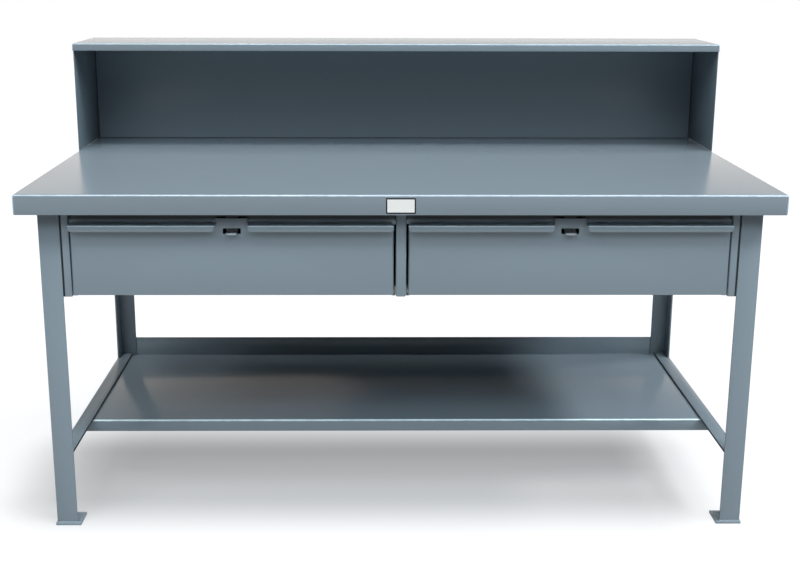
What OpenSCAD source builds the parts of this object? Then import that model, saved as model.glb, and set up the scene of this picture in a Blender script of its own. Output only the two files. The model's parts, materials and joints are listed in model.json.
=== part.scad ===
// Welded steel work table with a back riser, a half-depth lower shelf and two lockable drawers.
// X runs along the table with +X to the right of someone at its front, +Y runs to the back, Z is up.
// The origin is on the floor under the middle of the worktop. All sizes are in millimetres.

/* [Worktop] */
// Length of the worktop
top_w = 1828.8; // [1500:0.1:2400]
// Depth of the worktop, front to back
top_d = 914.4; // [850:0.1:1200]
// Height of the working surface above the floor
top_h = 863.6; // [760:0.1:1000]
// Thickness of the worktop plate
top_t = 4.5; // [3:0.1:5]
// Height of the skirt folded down round the worktop
skirt_h = 49; // [40:0.5:60]
// Outer radius of the worktop's folded edges
top_bend_r = 5.2; // [5.2:0.1:9]
// Radius on the lower corners of the front skirt
skirt_corner_r = 3.5; // [1:0.5:6]

/* [Legs and foot pads] */
// Width of each flange of the leg angle
leg_w = 50.8; // [45:0.1:64]
// Thickness of the leg angle
leg_t = 4.8; // [3:0.1:6.5]
// Radius inside the root of the leg angle
leg_root_r = 4.8; // [2:0.1:6]
// Distance from the worktop's side to the leg
leg_inset_x = 44.5; // [30:0.5:80]
// Distance from the worktop's front or back to the leg
leg_inset_y = 41; // [30:0.5:70]
// Length and depth of a square foot pad
pad_w = 63.5; // [60:0.5:90]
// Thickness of a foot pad
pad_t = 6.5; // [4:0.5:10]
// Overhang of a foot pad past the leg's outer faces
pad_overhang = 3.2; // [0:0.1:6]
// Diameter of the floor anchor hole in a foot pad
anchor_hole_d = 14.3; // [9:0.1:18]
// Distance from a foot pad's outer edges to its anchor hole
anchor_setback = 38; // [34:0.5:42]

/* [Lower shelf] */
// Width of each flange of a side stretcher
stretcher_w = 38.1; // [30:0.1:45]
// Thickness of a side stretcher
stretcher_t = 4.8; // [3:0.1:6.5]
// Height of the stretchers' upper face above the floor
stretcher_top = 179.5; // [120:0.5:300]
// Depth of the lower shelf, front to back
shelf_d = 559; // [350:1:700]
// Thickness of the lower shelf sheet
shelf_t = 1.9; // [1.2:0.1:3]
// Height of the lip folded down along the shelf's front
shelf_lip_h = 32.5; // [20:0.5:45]
// Height of the upstand along the shelf's back
upstand_h = 56.5; // [30:0.5:100]
// Outer radius of folds in the thinner sheet
fold_r = 3.4; // [3.2:0.1:5]
// Width of the flat face of a hat-section stiffener
hat_w = 50; // [30:1:70]
// Width of each foot of a hat-section stiffener
hat_foot_w = 15; // [10:1:25]
// Depth of a hat-section stiffener
hat_h = 26; // [15:1:35]

/* [Riser] */
// Height of the riser above the worktop
riser_h = 304.8; // [200:0.1:400]
// Depth of the riser, front to back
riser_d = 263; // [180:1:320]
// Thickness of the riser sheet
riser_t = 1.9; // [1.2:0.1:3]
// Height of the lip folded down round the riser's shelf
riser_lip_h = 20; // [12:0.5:40]
// Distance from the worktop's side to the riser's side panel
riser_inset = 2.4; // [2.4:0.1:20]

/* [Drawer case] */
// Height from the case's lower edge to the working surface
case_drop = 260; // [230:1:320]
// Thickness of the case sheet
case_t = 1.9; // [1.2:0.1:2.5]
// Width of the case's front posts, which stand against the legs, and of the flanges along its top
case_post_w = 21.8; // [15:0.1:30]
// Depth of a post's edge, folded back beside the leg
case_return = 22; // [10:1:40]
// Outer radius of the fold beside the leg
case_post_r = 4.4; // [3.2:0.1:4.4]
// Width of the divider between the drawers
divider_w = 25; // [20:0.5:50]
// Radius on the divider's lower corners
divider_corner_r = 4; // [1:0.5:8]
// Space between the drawers' backs and the case's back
case_rear_gap = 15; // [5:1:40]
// Space between the drawers' front sheet and the header rail over it
header_gap = 1; // [0.5:0.1:8]
// Width of a header rail's upper flange
header_flange_w = 30; // [20:1:50]

/* [Drawers] */
// Gap between a drawer front and the case side
drawer_side_gap = 2.3; // [2:0.1:8]
// Gap between a drawer front and the divider
drawer_mid_gap = 5.5; // [2:0.1:9]
// Height of the drawer front's lower edge above the case's lower edge
drawer_rise = 4; // [3:0.5:10]
// Depth of a drawer pan, front to back
drawer_d = 508; // [440:1:620]
// Thickness of the drawer front sheet
front_t = 1.9; // [1.2:0.1:2.5]
// Depth of the edges folded back round a drawer front
front_return = 12; // [8:0.5:18]
// Thickness of the drawer pan sheet
pan_t = 1.2; // [0.8:0.1:2]
// Width of the hems folded in along the pan's upper edges
pan_hem_w = 8; // [4:0.5:12]
// Space between the pan's upper edge and the hasp slot
pan_slot_gap = 12; // [6:0.5:40]

/* [Pulls and hasps] */
// Height from the top of the folded pulls to the working surface
pull_drop = 79.2; // [70:0.1:90]
// Distance that the pulls stand out from the drawer front
pull_out = 20; // [16:0.5:24]
// Height of the lip folded down along the pulls
pull_lip_h = 15; // [10:0.5:20]
// Radius on the lower corners of the pull lips
pull_corner_r = 8; // [1:0.5:9]
// Width of the flat tab between the pulls
tab_w = 77; // [60:1:140]
// Height of the tab above the top of the pulls
tab_h = 13.6; // [8:0.1:16]
// Slit between the tab and each pull
tab_slit = 2; // [1:0.1:4]
// Width of the hasp slot
slot_w = 43; // [34:0.5:52]
// Height of the hasp slot
slot_h = 13.7; // [12:0.1:16]
// Height from the top of the slot to the top of the pulls
slot_drop = 10.7; // [8:0.1:14]
// Width of a hasp tongue
tongue_w = 28; // [22:0.5:32]
// Thickness of a hasp tongue
tongue_t = 4.8; // [3:0.1:6]
// Distance that a tongue stands out from the drawer front
tongue_out = 17; // [15:0.5:22]
// Height of the tongue's underside above the slot's lower edge
tongue_rise = 1; // [0.6:0.1:2]
// Radius on the corners of a tongue's tip
tongue_corner_r = 8; // [2:0.5:12]
// Diameter of the padlock hole in a tongue
padlock_hole_d = 9.5; // [7:0.1:11]

/* [Roller slides] */
// Space between the case and the drawer pan for a slide
slide_gap = 12.7; // [12.4:0.1:14]
// Thickness of the slide rails
rail_t = 1.2; // [1:0.1:1.4]
// Height of the case rail, over its flanges
rail_h = 24; // [24:0.1:26]
// Distance from the rails' rear end to the drawer pan's back
rail_end_gap = 4.9; // [3:0.1:20]
// Width of the case rail's flanges
rail_flange_w = 9.5; // [9:0.1:10]
// Distance that the case rail hangs below the case's lower edge
rail_hang = 1.5; // [0:0.1:3]
// Length of the rails that stays in the case when a drawer is out
rail_overlap = 115; // [110:1:250]
// Diameter of the front roller, on the case rail
front_roller_d = 15; // [13:0.1:15]
// Width of the rollers
roller_w = 6.6; // [5:0.1:6.6]
// Diameter of the roller pins
roller_pin_d = 5; // [4:0.1:6]
// Radial running clearance between a roller and its pin
roller_clearance = 0.08; // [0.02:0.01:0.1]
// Height of the drawer rail's web above its rolling flange
drawer_rail_h = 22; // [14:0.5:26]
// Rivet shank diameter
rivet_d = 4; // [3:0.1:5]

/* [Label plate] */
// Width of the blank label plate
label_w = 71; // [40:1:120]
// Height of the blank label plate
label_h = 38; // [20:1:38]
// Thickness of the blank label plate
label_t = 0.3; // [0.2:0.1:0.5]
// Distance of the label plate's middle to the left of the table's middle
label_shift = 2; // [-20:1:20]
// Distance of the label plate's upper edge below the working surface
label_drop = 7.5; // [7.5:0.1:9]

/* [Hidden] */
$fn = 48;

// Colours, as the paint and the bare metal show them
paint = [0.45, 0.51, 0.55];
paint_dark = [0.36, 0.41, 0.45];
zinc = [0.72, 0.73, 0.74];
nylon = [0.9, 0.9, 0.86];

// Overlap that joins pieces of one solid and clears cuts
eps = 1;
// Radial clearance of rivets and pins that are fixed in their holes
fixed_clearance = 0.05;

// Worktop and frame planes
under_z = top_h - top_t;
frame_front = -top_d / 2 + leg_inset_y;
leg_x = top_w / 2 - leg_inset_x;
leg_y = top_d / 2 - leg_inset_y;

// Lower shelf: its sheet lies under the stretchers' upper flanges
shelf_top = stretcher_top - stretcher_t;
shelf_half_w = leg_x - leg_t - leg_root_r;
shelf_back = leg_y;
shelf_front = shelf_back - shelf_d;
upstand_half_w = leg_x - leg_w;

// Riser: the side and back panels stand inside the shelf's folded lip and end below its bend
riser_side_x = top_w / 2 - riser_inset;
riser_pan_half_w = riser_side_x + riser_t;
riser_front = top_d / 2 - riser_d;
riser_top = top_h + riser_h;
riser_wall_front = riser_front + riser_t;
riser_wall_back = top_d / 2 - riser_t;
riser_wall_h = riser_h - fold_r;

// Drawer case
case_z = top_h - case_drop;
case_outer = leg_x - leg_w;
case_inner = case_outer - case_post_w;

// Drawers: everything is set out for the one on the right and mirrored for the other
front_x0 = divider_w / 2 + drawer_mid_gap;
front_x1 = case_inner - drawer_side_gap;
front_w = front_x1 - front_x0;
front_mid = (front_x0 + front_x1) / 2;
front_z = case_z + drawer_rise;
pull_top = top_h - pull_drop;
sheet_top = pull_top - fold_r;
header_z = sheet_top + header_gap;
slot_top = pull_top - slot_drop;
slot_z = slot_top - slot_h;
pan_x0 = divider_w / 2 + slide_gap;
pan_x1 = case_inner - slide_gap;
pan_z = front_z + front_t;
pan_top = slot_z - pan_slot_gap;
pan_front = frame_front + front_t;
pan_back = pan_front + drawer_d;
case_back_y = pan_back + case_rear_gap;

// Hasp tongue, behind the drawer front and in front of the header rail
tongue_clear = 2;
tongue_y = pan_front + tongue_clear;
tongue_z = slot_z + tongue_rise;
header_y = tongue_y + tongue_t;
tongue_weld_top = under_z - 20;
tongue_bend_r = tongue_t + 1.5;

// Roller slides: u is the distance from the case wall towards the drawer pan
rail_z = case_z - rail_hang;
rail_front = frame_front + front_return + 3;
rail_back = pan_back - rail_end_gap;
rail_len = rail_back - rail_front;
drawer_travel = rail_len - rail_overlap;
track_play = 0.3;
roller_play = 0.15;
rear_roller_d = rail_h - 2 * rail_t - 2 * track_play;
rear_roller_z = rail_z + rail_t + roller_play + rear_roller_d / 2;
front_roller_z = rail_z + rail_t + 0.5 + front_roller_d / 2;
front_roller_y = rail_front + 15;
stop_gap = 0.5;
rear_roller_y = rail_back - rail_t - stop_gap - rear_roller_d / 2;
roller_u = rail_t * 2;
drawer_web_u = slide_gap - rail_t;
pin_head_t = 0.8;
pin_head_d = roller_pin_d + 2;
pin_collar_d = roller_pin_d + 3;
pin_gap = 0.1;
rolling_flange_z = front_roller_z + front_roller_d / 2 + roller_play;
rolling_flange_u = roller_u + pin_gap;
ear_h = 5;
stop_lug_h = 3;
stop_reach = sqrt(pow(rear_roller_d / 2, 2)
    - pow(rail_z + rail_h - rail_t - stop_lug_h - rear_roller_z, 2));
rivet_head_t = 0.8;
rivet_head_d = rivet_d + 2;
case_rivet_z = rail_z + rail_h - rail_t - rivet_head_d / 2 - 0.6;
case_rivet_y = [rail_front + 50, rail_back - 60];
drawer_rivet_z = rolling_flange_z + rail_t + drawer_rail_h / 2;
drawer_rivet_y = [rail_front + 30, rail_back - 90];

// Square with all four corners set by one radius, from the origin
module round_square(w, h, r) {
    translate([r, 0]) square([w - 2 * r, h]);
    translate([0, r]) square([w, h - 2 * r]);
    for (x = [r, w - r], y = [r, h - r]) translate([x, y]) circle(r);
}

// Upright outline centred on x, standing on y = 0, with its upper corners rounded
module arch(w, h, r) {
    translate([-w / 2, 0]) square([w, h - r]);
    translate([-w / 2 + r, 0]) square([w - 2 * r, h]);
    for (s = [-1, 1]) translate([s * (w / 2 - r), h - r]) circle(r);
}

// Block standing on z = 0 whose upper edges are rounded on all four sides
module round_top_block(w, d, h, r) {
    intersection() {
        rotate([90, 0, 0]) linear_extrude(d, center = true) arch(w, h, r);
        rotate([90, 0, 90]) linear_extrude(w, center = true) arch(d, h, r);
    }
}

// Sheet pan with its lips folded down, open below, standing on z = 0
module pan(w, d, h, t, r) {
    difference() {
        round_top_block(w, d, h, r);
        translate([0, 0, -eps]) round_top_block(w - 2 * t, d - 2 * t, h - t + eps, r - t);
    }
}

// Folded sheet seen end on: one leg along +x, one along +y, bent round the origin corner
module fold(a, b, t, r) {
    translate([r, 0]) square([a - r, t]);
    translate([0, r]) square([t, b - r]);
    intersection() {
        square(r);
        translate([r, r]) difference() {
            circle(r);
            circle(r - t);
        }
    }
}

// Rolled angle seen end on, with the radius in its root
module angle_profile(w, t, root) {
    square([w, t]);
    square([t, w]);
    translate([t, t]) difference() {
        square(root);
        translate([root, root]) circle(root);
    }
}

// Hat section seen end on, hanging below y = 0 and centred on x
module hat_profile() {
    for (s = [-1, 1]) {
        translate([s * (hat_w / 2 + hat_foot_w / 2) - hat_foot_w / 2, -shelf_t])
            square([hat_foot_w, shelf_t]);
        translate([s * (hat_w / 2 - shelf_t / 2) - shelf_t / 2, -hat_h]) square([shelf_t, hat_h]);
    }
    translate([-hat_w / 2, -hat_h]) square([hat_w, shelf_t]);
}

// Puts a piece that is modelled on the right side on the side asked for
module on_side(side) {
    mirror([side < 0 ? 1 : 0, 0, 0]) children();
}

module worktop() {
    color(paint) translate([0, 0, top_h - skirt_h]) difference() {
        pan(top_w, top_d, skirt_h, top_t, top_bend_r);
        for (s = [-1, 1]) translate([s * (top_w / 2 - skirt_corner_r), 0, skirt_corner_r])
            rotate([90, 0, 0]) linear_extrude(top_d + 2 * eps, center = true) difference() {
                translate([s > 0 ? 0 : -skirt_corner_r - eps, -skirt_corner_r - eps])
                    square(skirt_corner_r + eps);
                circle(skirt_corner_r);
            }
    }
}

module top_stiffener() {
    mid = (case_back_y + case_t + leg_y) / 2;
    half_w = top_w / 2 - top_bend_r - top_t;
    color(paint_dark) translate([-half_w, mid, under_z]) rotate([90, 0, 90])
        linear_extrude(2 * half_w) hat_profile();
}

module leg(side, end) {
    color(paint) on_side(side) mirror([0, end < 0 ? 1 : 0, 0])
        translate([leg_x, leg_y, pad_t]) rotate([0, 0, 180])
            linear_extrude(under_z - pad_t) angle_profile(leg_w, leg_t, leg_root_r);
}

module foot_pad(side, end) {
    outer_x = leg_x + pad_overhang;
    outer_y = leg_y + pad_overhang;
    color(paint) on_side(side) mirror([0, end < 0 ? 1 : 0, 0]) difference() {
        translate([outer_x - pad_w, outer_y - pad_w, 0]) cube([pad_w, pad_w, pad_t]);
        translate([outer_x - anchor_setback, outer_y - anchor_setback, -eps])
            cylinder(d = anchor_hole_d, h = pad_t + 2 * eps);
    }
}

// Angle between the legs: the upper flange reaches into them, the outer one stops at their edges
module stretcher(side) {
    web_len = 2 * (leg_y - leg_w);
    flange_len = 2 * (leg_y - leg_t);
    color(paint) on_side(side) {
        translate([leg_x, 0, stretcher_top]) rotate([90, 180, 0])
            linear_extrude(web_len, center = true)
                angle_profile(stretcher_w, stretcher_t, leg_root_r / 2);
        translate([leg_x - stretcher_w, -flange_len / 2, shelf_top])
            cube([stretcher_w - leg_t - leg_root_r, flange_len, stretcher_t]);
    }
}

module lower_shelf() {
    bed_d = leg_y - leg_t - leg_root_r - shelf_front;
    color(paint_dark) {
        translate([-shelf_half_w, shelf_front, shelf_top]) rotate([90, 0, 90])
            linear_extrude(2 * shelf_half_w) mirror([0, 1]) fold(bed_d, shelf_lip_h, shelf_t, fold_r);
        translate([-upstand_half_w, shelf_back, shelf_top - shelf_t]) rotate([90, 0, 90])
            linear_extrude(2 * upstand_half_w) mirror([1, 0])
                fold(shelf_d - bed_d + eps, upstand_h + shelf_t, shelf_t, fold_r);
    }
}

module shelf_stiffener() {
    color(paint_dark)
        translate([-shelf_half_w, shelf_front + shelf_d / 2, shelf_top - shelf_t]) rotate([90, 0, 90])
            linear_extrude(2 * shelf_half_w) hat_profile();
}

module riser_side(side) {
    color(paint) on_side(side)
        translate([riser_side_x - riser_t, riser_wall_front, top_h])
            cube([riser_t, riser_wall_back - riser_wall_front, riser_wall_h]);
}

// Back sheet between the side panels
module riser_back() {
    half_w = riser_side_x - riser_t;
    color(paint) translate([-half_w, riser_wall_back - riser_t, top_h])
        cube([2 * half_w, riser_t, riser_wall_h]);
}

module riser_shelf() {
    color(paint) translate([0, riser_front + riser_d / 2, riser_top - riser_lip_h])
        pan(2 * riser_pan_half_w, riser_d, riser_lip_h, riser_t, fold_r);
}

// Web with a post folded out along its front and back beside the leg, and a flange along its top
module case_side(side) {
    web_d = case_back_y - frame_front;
    color(paint) on_side(side) difference() {
        union() {
            translate([case_inner, frame_front, case_z]) linear_extrude(under_z - case_z) {
                fold(case_post_w / 2 + eps, web_d, case_t, fold_r);
                translate([case_post_w, 0]) mirror([1, 0])
                    fold(case_post_w / 2, case_return, case_t, case_post_r);
            }
            translate([case_inner, frame_front + case_post_r, under_z - case_t])
                cube([case_post_w, web_d - case_post_r, case_t]);
        }
        rivet_holes(case_inner);
    }
}

// Channel whose closed face shows between the drawers, with its lower corners rounded off
module case_divider() {
    divider_d = case_back_y - frame_front;
    divider_h = under_z - case_z;
    color(paint) difference() {
        intersection() {
            translate([0, case_back_y, case_z]) rotate([0, 0, 180])
                linear_extrude(divider_h) difference() {
                    arch(divider_w, divider_d, fold_r);
                    translate([0, -eps])
                        arch(divider_w - 2 * case_t, divider_d - case_t + eps, fold_r - case_t);
                }
            translate([0, case_back_y + eps, under_z]) rotate([90, 0, 0])
                linear_extrude(divider_d + 2 * eps) mirror([0, 1])
                    arch(divider_w, divider_h, divider_corner_r);
        }
        for (side = [-1, 1]) on_side(side) rivet_holes(divider_w / 2 - case_t);
    }
}

module case_back() {
    color(paint_dark) translate([-case_outer, case_back_y, case_z])
        cube([2 * case_outer, case_t, under_z - case_z]);
}

module header_rail(side) {
    color(paint_dark) on_side(side)
        translate([divider_w / 2, header_y, under_z]) rotate([90, 0, 90])
            linear_extrude(case_inner - divider_w / 2) mirror([0, 1])
                fold(header_flange_w, under_z - header_z, case_t, fold_r);
}

// Strap welded to the header rail, bent forward through the slot, with a hole for a padlock
module hasp_tongue(side) {
    reach = header_y - frame_front + tongue_out;
    straight = reach - tongue_corner_r;
    hole_y = frame_front - tongue_out / 2;
    color(paint) on_side(side) difference() {
        translate([front_mid, header_y, tongue_z]) {
            translate([-tongue_w / 2, 0, 0]) rotate([90, 0, 90])
                linear_extrude(tongue_w) mirror([1, 0])
                    fold(straight, tongue_weld_top - tongue_z, tongue_t, tongue_bend_r);
            translate([0, -reach / 2, 0]) rotate([0, 0, 180]) linear_extrude(tongue_t)
                arch(tongue_w, reach / 2, tongue_corner_r);
        }
        translate([front_mid, hole_y, tongue_z - eps])
            cylinder(d = padlock_hole_d, h = tongue_t + 2 * eps);
    }
}

module label_plate() {
    color("white")
        translate([-label_shift - label_w / 2, -top_d / 2, top_h - label_drop - label_h])
            rotate([90, 0, 0]) linear_extrude(label_t) round_square(label_w, label_h, 2);
}

// Puts slide pieces, drawn with u along +x and the wall at x = 0, at both walls of a drawer's bay
module slide_at(side, wall) {
    on_side(side) {
        if (wall == "inner") translate([divider_w / 2, 0, 0]) children();
        if (wall == "outer") translate([case_inner, 0, 0]) mirror([1, 0, 0]) children();
    }
}

// Cylinder along u, from one distance to another
module across(u0, u1, d, y, z) {
    translate([u0, y, z]) rotate([0, 90, 0]) cylinder(d = d, h = u1 - u0);
}

// Cuts through one case wall for the rivets of the rail on it
module rivet_holes(wall_x) {
    for (y = case_rivet_y)
        across(wall_x - eps, wall_x + case_t + eps, rivet_d + 2 * fixed_clearance, y, case_rivet_z);
}

// Channel rail on the case, with its end tab and the lug that stops the rear roller
module case_rail(side, wall) {
    lug_y = rear_roller_y - drawer_travel - stop_reach - stop_gap;
    color(zinc) slide_at(side, wall) difference() {
        translate([0, 0, rail_z]) {
            translate([0, rail_front, 0]) cube([rail_t, rail_len, rail_h]);
            for (z = [0, rail_h - rail_t])
                translate([0, rail_front, z]) cube([rail_flange_w, rail_len, rail_t]);
            translate([0, rail_back - rail_t, 0]) cube([rail_flange_w, rail_t, rail_h]);
            translate([roller_u, lug_y - rail_t, rail_h - rail_t - stop_lug_h])
                cube([rail_flange_w - roller_u, rail_t, stop_lug_h + rail_t]);
        }
        across(-eps, rail_t + eps, roller_pin_d + 2 * fixed_clearance, front_roller_y, front_roller_z);
        for (y = case_rivet_y)
            across(-eps, rail_t + eps, rivet_d + 2 * fixed_clearance, y, case_rivet_z);
    }
}

// Rivets through the case rails and the walls that they are on
module case_rail_rivets() {
    color(zinc) for (side = [-1, 1], wall = ["inner", "outer"], y = case_rivet_y)
        slide_at(side, wall) {
            across(-case_t - rivet_head_t, rail_t + rivet_head_t, rivet_d, y, case_rivet_z);
            across(rail_t, rail_t + rivet_head_t, rivet_head_d, y, case_rivet_z);
            across(-case_t - rivet_head_t, -case_t, rivet_head_d, y, case_rivet_z);
        }
}

module front_roller_pins() {
    roller_end = roller_u + roller_w;
    color(zinc) for (side = [-1, 1], wall = ["inner", "outer"]) slide_at(side, wall) {
        across(0, roller_end + pin_gap + pin_head_t, roller_pin_d, front_roller_y, front_roller_z);
        across(rail_t, roller_u - pin_gap, pin_collar_d, front_roller_y, front_roller_z);
        across(roller_end + pin_gap, roller_end + pin_gap + pin_head_t, pin_head_d,
            front_roller_y, front_roller_z);
    }
}

// Rollers of one drawer that share an axle line
module roller_pair(side, d, y, z) {
    for (wall = ["inner", "outer"]) slide_at(side, wall) difference() {
        across(roller_u, roller_u + roller_w, d, y, z);
        across(roller_u - eps, roller_u + roller_w + eps, roller_pin_d + 2 * roller_clearance, y, z);
    }
}

module front_rollers(side) {
    color(nylon) roller_pair(side, front_roller_d, front_roller_y, front_roller_z);
}

module rear_rollers(side) {
    color(nylon) roller_pair(side, rear_roller_d, rear_roller_y, rear_roller_z);
}

module rear_roller_pins(side) {
    color(zinc) for (wall = ["inner", "outer"]) slide_at(side, wall) {
        across(roller_u - pin_gap - pin_head_t, slide_gap, roller_pin_d, rear_roller_y, rear_roller_z);
        across(roller_u - pin_gap - pin_head_t, roller_u - pin_gap, pin_head_d,
            rear_roller_y, rear_roller_z);
        across(roller_u + roller_w + pin_gap, drawer_web_u, pin_collar_d, rear_roller_y, rear_roller_z);
    }
}

// Angle rail on the drawer pan: the flange rides on the front roller, the ear holds the rear one
module drawer_rail(side, wall) {
    ear_end = rear_roller_y + pin_collar_d;
    flange_end = rear_roller_y - rear_roller_d / 2 - 2;
    web_top = rolling_flange_z + rail_t + drawer_rail_h;
    ear_bottom = rear_roller_z - ear_h;
    color(zinc) slide_at(side, wall) difference() {
        union() {
            translate([drawer_web_u, rail_front, rolling_flange_z])
                cube([rail_t, ear_end - rail_front, web_top - rolling_flange_z]);
            translate([rolling_flange_u, rail_front, rolling_flange_z])
                cube([slide_gap - rolling_flange_u, flange_end - rail_front, rail_t]);
            translate([drawer_web_u, rear_roller_y - pin_collar_d, ear_bottom])
                cube([rail_t, 2 * pin_collar_d, rolling_flange_z + rail_t - ear_bottom]);
        }
        across(drawer_web_u - eps, slide_gap + eps, roller_pin_d + 2 * fixed_clearance,
            rear_roller_y, rear_roller_z);
        for (y = drawer_rivet_y)
            across(drawer_web_u - eps, slide_gap + eps, rivet_d + 2 * fixed_clearance,
                y, drawer_rivet_z);
    }
}

// Rivets through the drawer rails and the pan's sides
module drawer_rivets(side) {
    color(zinc) for (wall = ["inner", "outer"], y = drawer_rivet_y) slide_at(side, wall) {
        across(drawer_web_u - rivet_head_t, slide_gap + pan_t + rivet_head_t, rivet_d,
            y, drawer_rivet_z);
        across(drawer_web_u - rivet_head_t, drawer_web_u, rivet_head_d, y, drawer_rivet_z);
        across(slide_gap + pan_t, slide_gap + pan_t + rivet_head_t, rivet_head_d, y, drawer_rivet_z);
    }
}

// Open box of thin sheet with hems folded in along its sides and back
module drawer_pan(side) {
    pan_w = pan_x1 - pan_x0;
    pan_h = pan_top - pan_z;
    color(paint) on_side(side) difference() {
        translate([pan_x0, pan_front, pan_z]) {
            difference() {
                cube([pan_w, drawer_d, pan_h]);
                translate([pan_t, pan_t, pan_t])
                    cube([pan_w - 2 * pan_t, drawer_d - 2 * pan_t, pan_h]);
            }
            for (x = [0, pan_w - pan_hem_w])
                translate([x, 0, pan_h - pan_t]) cube([pan_hem_w, drawer_d, pan_t]);
            translate([0, drawer_d - pan_hem_w, pan_h - pan_t]) cube([pan_w, pan_hem_w, pan_t]);
        }
        for (x = [pan_x0, pan_x1 - pan_t], y = drawer_rivet_y)
            across(x - eps, x + pan_t + eps, rivet_d + 2 * fixed_clearance, y, drawer_rivet_z);
    }
}

// Folded pull: out from the drawer front and down to a lip with rounded ends
module pull(x0, x1) {
    pull_d = pull_out + front_t;
    intersection() {
        translate([x0, frame_front + front_t - pull_d / 2, pull_top - pull_lip_h])
            rotate([90, 0, 90]) linear_extrude(x1 - x0) difference() {
                arch(pull_d, pull_lip_h, fold_r);
                translate([0, -eps])
                    arch(pull_d - 2 * front_t, pull_lip_h - front_t + eps, fold_r - front_t);
            }
        translate([(x0 + x1) / 2, frame_front + pull_d, pull_top]) rotate([90, 0, 0])
            linear_extrude(3 * pull_d) mirror([0, 1]) arch(x1 - x0, pull_lip_h, pull_corner_r);
    }
}

module drawer_front(side) {
    color(paint) on_side(side) difference() {
        union() {
            translate([front_mid, frame_front + front_return, front_z]) rotate([0, 0, 180])
                linear_extrude(sheet_top - front_z) difference() {
                    arch(front_w, front_return, fold_r);
                    translate([0, -eps])
                        arch(front_w - 2 * front_t, front_return - front_t + eps, fold_r - front_t);
                }
            translate([front_x0 + fold_r, frame_front, front_z])
                cube([front_w - 2 * fold_r, front_return, front_t]);
            translate([front_mid - tab_w / 2, frame_front, slot_z])
                cube([tab_w, front_t, pull_top + tab_h - slot_z]);
            pull(front_x0, front_mid - tab_w / 2 - tab_slit);
            pull(front_mid + tab_w / 2 + tab_slit, front_x1);
        }
        translate([front_mid - slot_w / 2, frame_front - eps, slot_z])
            cube([slot_w, front_t + 2 * eps, slot_h]);
    }
}

worktop();
top_stiffener();
leg(-1, -1);  // leg_front_left
leg(1, -1);  // leg_front_right
leg(-1, 1);  // leg_rear_left
leg(1, 1);  // leg_rear_right
foot_pad(-1, -1);  // foot_pad_front_left
foot_pad(1, -1);  // foot_pad_front_right
foot_pad(-1, 1);  // foot_pad_rear_left
foot_pad(1, 1);  // foot_pad_rear_right
stretcher(-1);  // stretcher_left
stretcher(1);  // stretcher_right
lower_shelf();
shelf_stiffener();
riser_side(-1);  // riser_side_left
riser_side(1);  // riser_side_right
riser_back();
riser_shelf();
case_side(-1);  // case_side_left
case_side(1);  // case_side_right
case_divider();
case_back();
header_rail(-1);  // header_rail_left
header_rail(1);  // header_rail_right
hasp_tongue(-1);  // hasp_tongue_left
hasp_tongue(1);  // hasp_tongue_right
label_plate();
case_rail(-1, "outer");  // case_rail_left_outer
case_rail(-1, "inner");  // case_rail_left_inner
case_rail(1, "inner");  // case_rail_right_inner
case_rail(1, "outer");  // case_rail_right_outer
case_rail_rivets();
front_roller_pins();
front_rollers(-1);  // front_rollers_left
front_rollers(1);  // front_rollers_right
drawer_front(-1);  // drawer_front_left
drawer_front(1);  // drawer_front_right
drawer_pan(-1);  // drawer_pan_left
drawer_pan(1);  // drawer_pan_right
drawer_rail(-1, "outer");  // drawer_rail_left_outer
drawer_rail(-1, "inner");  // drawer_rail_left_inner
drawer_rail(1, "inner");  // drawer_rail_right_inner
drawer_rail(1, "outer");  // drawer_rail_right_outer
drawer_rivets(-1);  // drawer_rivets_left
drawer_rivets(1);  // drawer_rivets_right
rear_roller_pins(-1);  // rear_roller_pins_left
rear_roller_pins(1);  // rear_roller_pins_right
rear_rollers(-1);  // rear_rollers_left
rear_rollers(1);  // rear_rollers_right
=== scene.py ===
# %% [markdown]
# # A welded steel work table
# This lesson dresses a finished steel table: folded sheet, rolled angle, two drawers on roller slides.
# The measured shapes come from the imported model. Blender adds what a measured solid lacks: the soft
# edges of painted steel, the weld beads, the enamel itself, the light and the camera.

# %% Load the measured frame
import json
import math

import bmesh
import bpy
from mathutils import Matrix, Vector


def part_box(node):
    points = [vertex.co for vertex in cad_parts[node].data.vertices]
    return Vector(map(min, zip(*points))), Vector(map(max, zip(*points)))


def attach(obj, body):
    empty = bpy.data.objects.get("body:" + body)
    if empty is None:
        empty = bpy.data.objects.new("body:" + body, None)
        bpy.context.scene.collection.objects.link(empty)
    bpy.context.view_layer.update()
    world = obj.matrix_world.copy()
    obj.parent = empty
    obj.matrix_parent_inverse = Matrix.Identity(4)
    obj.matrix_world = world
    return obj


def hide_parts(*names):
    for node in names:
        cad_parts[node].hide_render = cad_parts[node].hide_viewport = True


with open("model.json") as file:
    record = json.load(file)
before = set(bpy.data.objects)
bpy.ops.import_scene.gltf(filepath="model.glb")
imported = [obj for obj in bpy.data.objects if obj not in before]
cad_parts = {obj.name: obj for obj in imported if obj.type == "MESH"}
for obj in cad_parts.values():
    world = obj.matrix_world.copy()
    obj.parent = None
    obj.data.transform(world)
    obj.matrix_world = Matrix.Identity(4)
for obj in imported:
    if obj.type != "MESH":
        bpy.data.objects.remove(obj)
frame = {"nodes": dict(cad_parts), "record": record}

scene = bpy.context.scene
nodes = frame["nodes"]
bodies = frame["record"]["behaviour"]["bodies"]
body_of = {node: body for body, members in bodies.items() for node in members}
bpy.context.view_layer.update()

# %% [markdown]
# ## The camera
# The table is seen a little from above and almost straight on. The place, the turn and the lens were
# fitted to edges of known length, so that lines of the model land where the eye expects them. The
# horizon is above the middle of the picture, which is what a small shift of the lens gives.

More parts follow.
